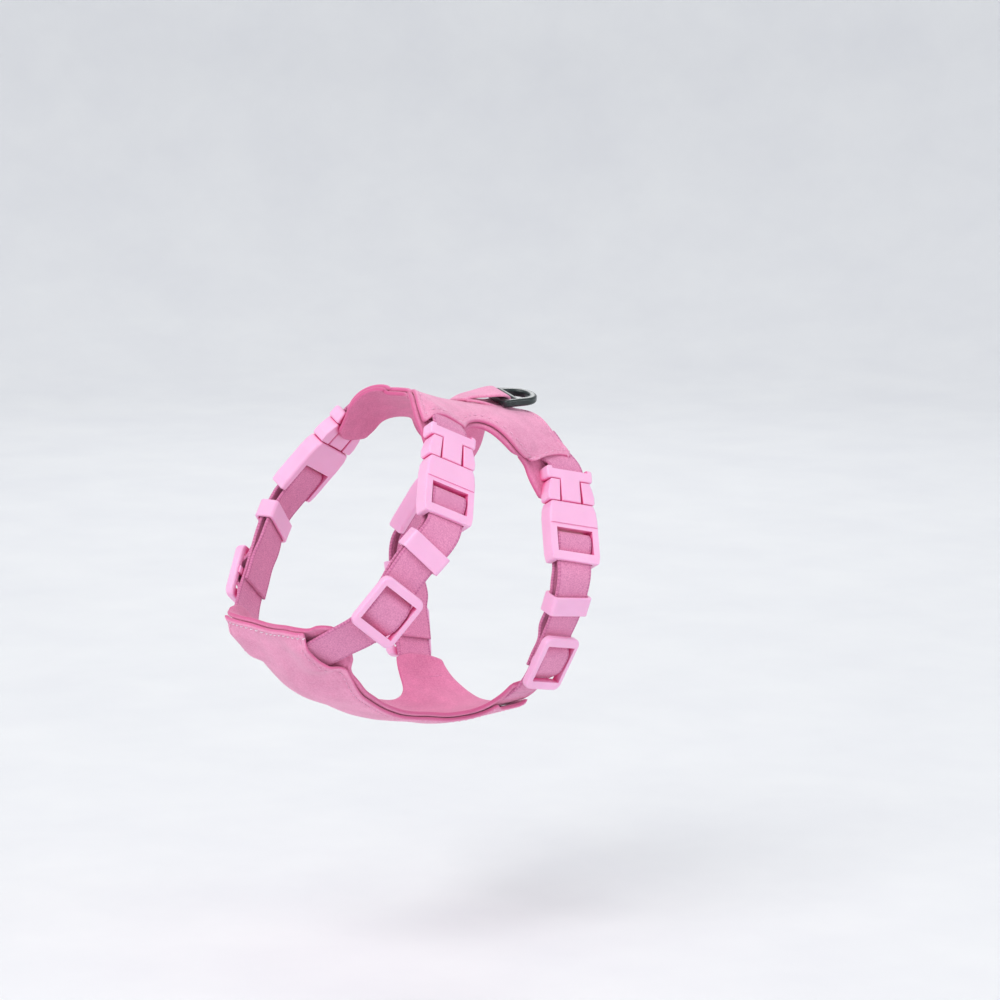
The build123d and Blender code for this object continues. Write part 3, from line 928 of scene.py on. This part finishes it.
def build_webbing_tab(part, side):
    """The webbing loop from inside the back panel's arm, round the male half's bar and back."""
    name = f"{part}_{side}"
    route = ARM_ROUTES[part]
    bar = route.length + MALE_BAR[0] - ARM_END_Y
    bar_height = BUCKLE_LIFT + MALE_BAR[1]
    wrap = MALE_BAR_RADIUS + MALE_BAR_GAP + WEBBING_THICK / 2
    turn = [(2 * bar - d, h) for d, h in half_turn(bar, bar_height, wrap)]
    top = bar_height + wrap - 0.1
    path = [(bar - 18, 0.75), (bar - 13, 0.9), (bar - 8, 1.9), (bar - 3.4, top)]
    path += turn + [(bar - 3.4, 0.7), (bar - 8, 0.3), (bar - 13, -0.5), (bar - 18, -0.6)]
    shape = Shape()
    strip(
        shape,
        route,
        path,
        webbing_section(),
        0.5,
        lambda d: TAB_SHIFT[part] * (1 - smooth_step((d - bar + 12) / 11)),
    )
    piece = shape.piece(f"{name}_tab_loop", WEBBING, "webbing", SIDES[side])
    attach(piece, "harness")
    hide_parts(f"{name}_webbing_tab")


def suede_section(width, thick):
    """Section of a suede strip with rounded edges."""
    half, flat = width / 2, thick / 2
    corner = [(half - 0.5, flat), (half - 0.15, flat * 0.75), (half, 0)]
    right = [(0, flat), (half / 2, flat), (half - 1.2, flat)] + corner
    over = right + [(x, -z) for x, z in right[-2::-1]]
    return np.array(over + [(-x, z) for x, z in over[-2:0:-1]])


def build_ring_tab():
    """The suede tab folded over the leash ring's bar and sewn down to the back panel."""
    along = unit(RING_BOW_ALONG)
    bar = np.array(RING_BAR_AT, float)
    out = np.cross(unit(RING_BAR_ALONG), along)
    panel_out = surface_out(back_surface, *RING_TAB_SEWN, 1)
    start = back_surface(*RING_TAB_SEWN) + panel_out * (OUTER_LIFT + LAYER_THICK / 2)
    route = Route([start, bar], bar - start, along, (panel_out, out))
    wrap = RING_BAR_RADIUS + RING_TAB_GAP + RING_TAB_THICK / 2
    turn = [(2 * route.length - d, h) for d, h in half_turn(route.length, 0, wrap)]
    path = [(0, 0.4), (3, 1.4), (8, 1.9), (route.length - 3, wrap)]
    path += turn + [(route.length - 3, 0.2 - wrap), (9, -0.9), (4, 0.0), (0.8, 0.2)]
    shape = Shape()
    strip(shape, route, path, suede_section(RING_TAB_WIDTH, RING_TAB_THICK), 0.5)
    piece = shape.piece("ring_tab_fold", SUEDE_OUTER, "suede", 1, np.full(shape.count, 3.0))
    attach(piece, "harness")
    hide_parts("leash_ring_tab")


# ---------------------------------------------------------------- hardware


def finish_hardware():
    """Materials for the CAD's own buckles, keepers, sliders and ring."""
    for name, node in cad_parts.items():
        hard = ("_male", "_socket", "_prong_front", "_prong_rear", "_keeper", "_slider")
        if name.endswith(hard) or name == "leash_ring":
            node.data.materials.clear()
            node.data.materials.append(RING_PAINT if name == "leash_ring" else PLASTIC)


# ---------------------------------------------------------------- studio

# In metres and degrees, and the camera's sensor in millimetres
VIEW_AZIMUTH = 47.0
VIEW_ELEVATION = 10.0
VIEW_DISTANCE = 1.5
VIEW_WIDTH = 0.385
VIEW_AIM = (0.0, -0.0021, 0.0192)
SENSOR = 36.0
FLOOR_Z = -0.150
LIGHT_AIM = (0, -0.04, 0)
LIGHTS = (  # name, place, size, watts, colour
    ("key", (0.25, -1.1, 1.25), 0.9, 13.5, (1.0, 0.98, 0.97)),
    ("fill", (1.2, 0.5, 0.5), 1.0, 3, (0.96, 0.98, 1.0)),
    ("rim", (-0.9, 0.8, 0.9), 0.8, 4, (1.0, 1.0, 1.0)),
)


def towards_camera():
    azimuth, elevation = math.radians(VIEW_AZIMUTH), math.radians(VIEW_ELEVATION)
    level_part = math.cos(elevation)
    return Vector(
        (
            math.sin(azimuth) * level_part,
            -math.cos(azimuth) * level_part,
            math.sin(elevation),
        )
    )


def build_camera():
    lens = bpy.data.cameras.new("view")
    lens.sensor_width = SENSOR
    lens.lens = SENSOR * VIEW_DISTANCE / VIEW_WIDTH
    camera = bpy.data.objects.new("view", lens)
    camera.location = Vector(VIEW_AIM) + towards_camera() * VIEW_DISTANCE
    camera.rotation_euler = (-towards_camera()).to_track_quat("-Z", "Y").to_euler()
    bpy.context.scene.collection.objects.link(camera)
    bpy.context.scene.camera = camera


def build_light(name, place, size, watts, colour):
    lamp = bpy.data.lights.new(name, "AREA")
    lamp.shape = "DISK"
    lamp.size = size
    lamp.energy = watts
    lamp.color = colour
    obj = bpy.data.objects.new(name, lamp)
    obj.location = place
    aim = Vector(LIGHT_AIM) - Vector(place)
    obj.rotation_euler = aim.to_track_quat("-Z", "Y").to_euler()
    bpy.context.scene.collection.objects.link(obj)


def build_studio():
    scene = bpy.context.scene
    scene.view_settings.view_transform = "Standard"
    world = bpy.data.worlds.new("studio")
    world.use_nodes = True
    world.node_tree.nodes["Background"].inputs["Color"].default_value = (0.94, 0.96, 1.0, 1)
    world.node_tree.nodes["Background"].inputs["Strength"].default_value = 0.58
    scene.world = world
    for light in LIGHTS:
        build_light(*light)


def build_floor():
    """A pale floor that curves up into a backdrop all round."""
    flat, rise, bend, sides, bend_steps = 1.4, 1.6, 0.5, 64, 8
    profile = [(0.0, 0.0), (flat / 2, 0.0), (flat, 0.0)]
    for n in range(1, bend_steps + 1):
        angle = math.pi / 2 * n / bend_steps
        profile.append((flat + bend * math.sin(angle), bend * (1 - math.cos(angle))))
    profile.append((flat + bend, rise))
    shape = Shape()
    turns = [2 * math.pi * k / sides for k in range(sides)]
    points = [
        (r * math.cos(t) / MM, r * math.sin(t) / MM, (FLOOR_Z + z) / MM)
        for r, z in profile[1:]
        for t in turns
    ]
    points.append((0, 0, FLOOR_Z / MM))
    rings = len(profile) - 1
    faces = [
        [i * sides + j, (i + 1) * sides + j, (i + 1) * sides + k, i * sides + k]
        for i in range(rings - 1)
        for j, k in ring_pairs(sides)
    ]
    faces += [[rings * sides, j, k] for j, k in ring_pairs(sides)]
    shape.add(points, faces)
    made, nodes, links, shader = material("studio_floor")
    place = nodes.new("ShaderNodeTexCoord").outputs["Object"]
    mottle = noise(nodes, links, place, 14, 3)
    links.new(
        ramp(nodes, links, mottle, 0.3, 0.7, ((0.84, 0.85, 0.87), (0.88, 0.89, 0.90))),
        shader.inputs["Base Color"],
    )
    shader.inputs["Roughness"].default_value = 0.75
    floor = shape.piece("floor", made, "suede")
    del floor["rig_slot"]


build_camera()
build_studio()
build_floor()
build_panels()
for side_name in SIDES:
    for part_name in STRAPS:
        build_strap(part_name, side_name)
        build_hump(part_name, side_name)
        build_webbing_tab(part_name, side_name)
build_ring_tab()
finish_hardware()
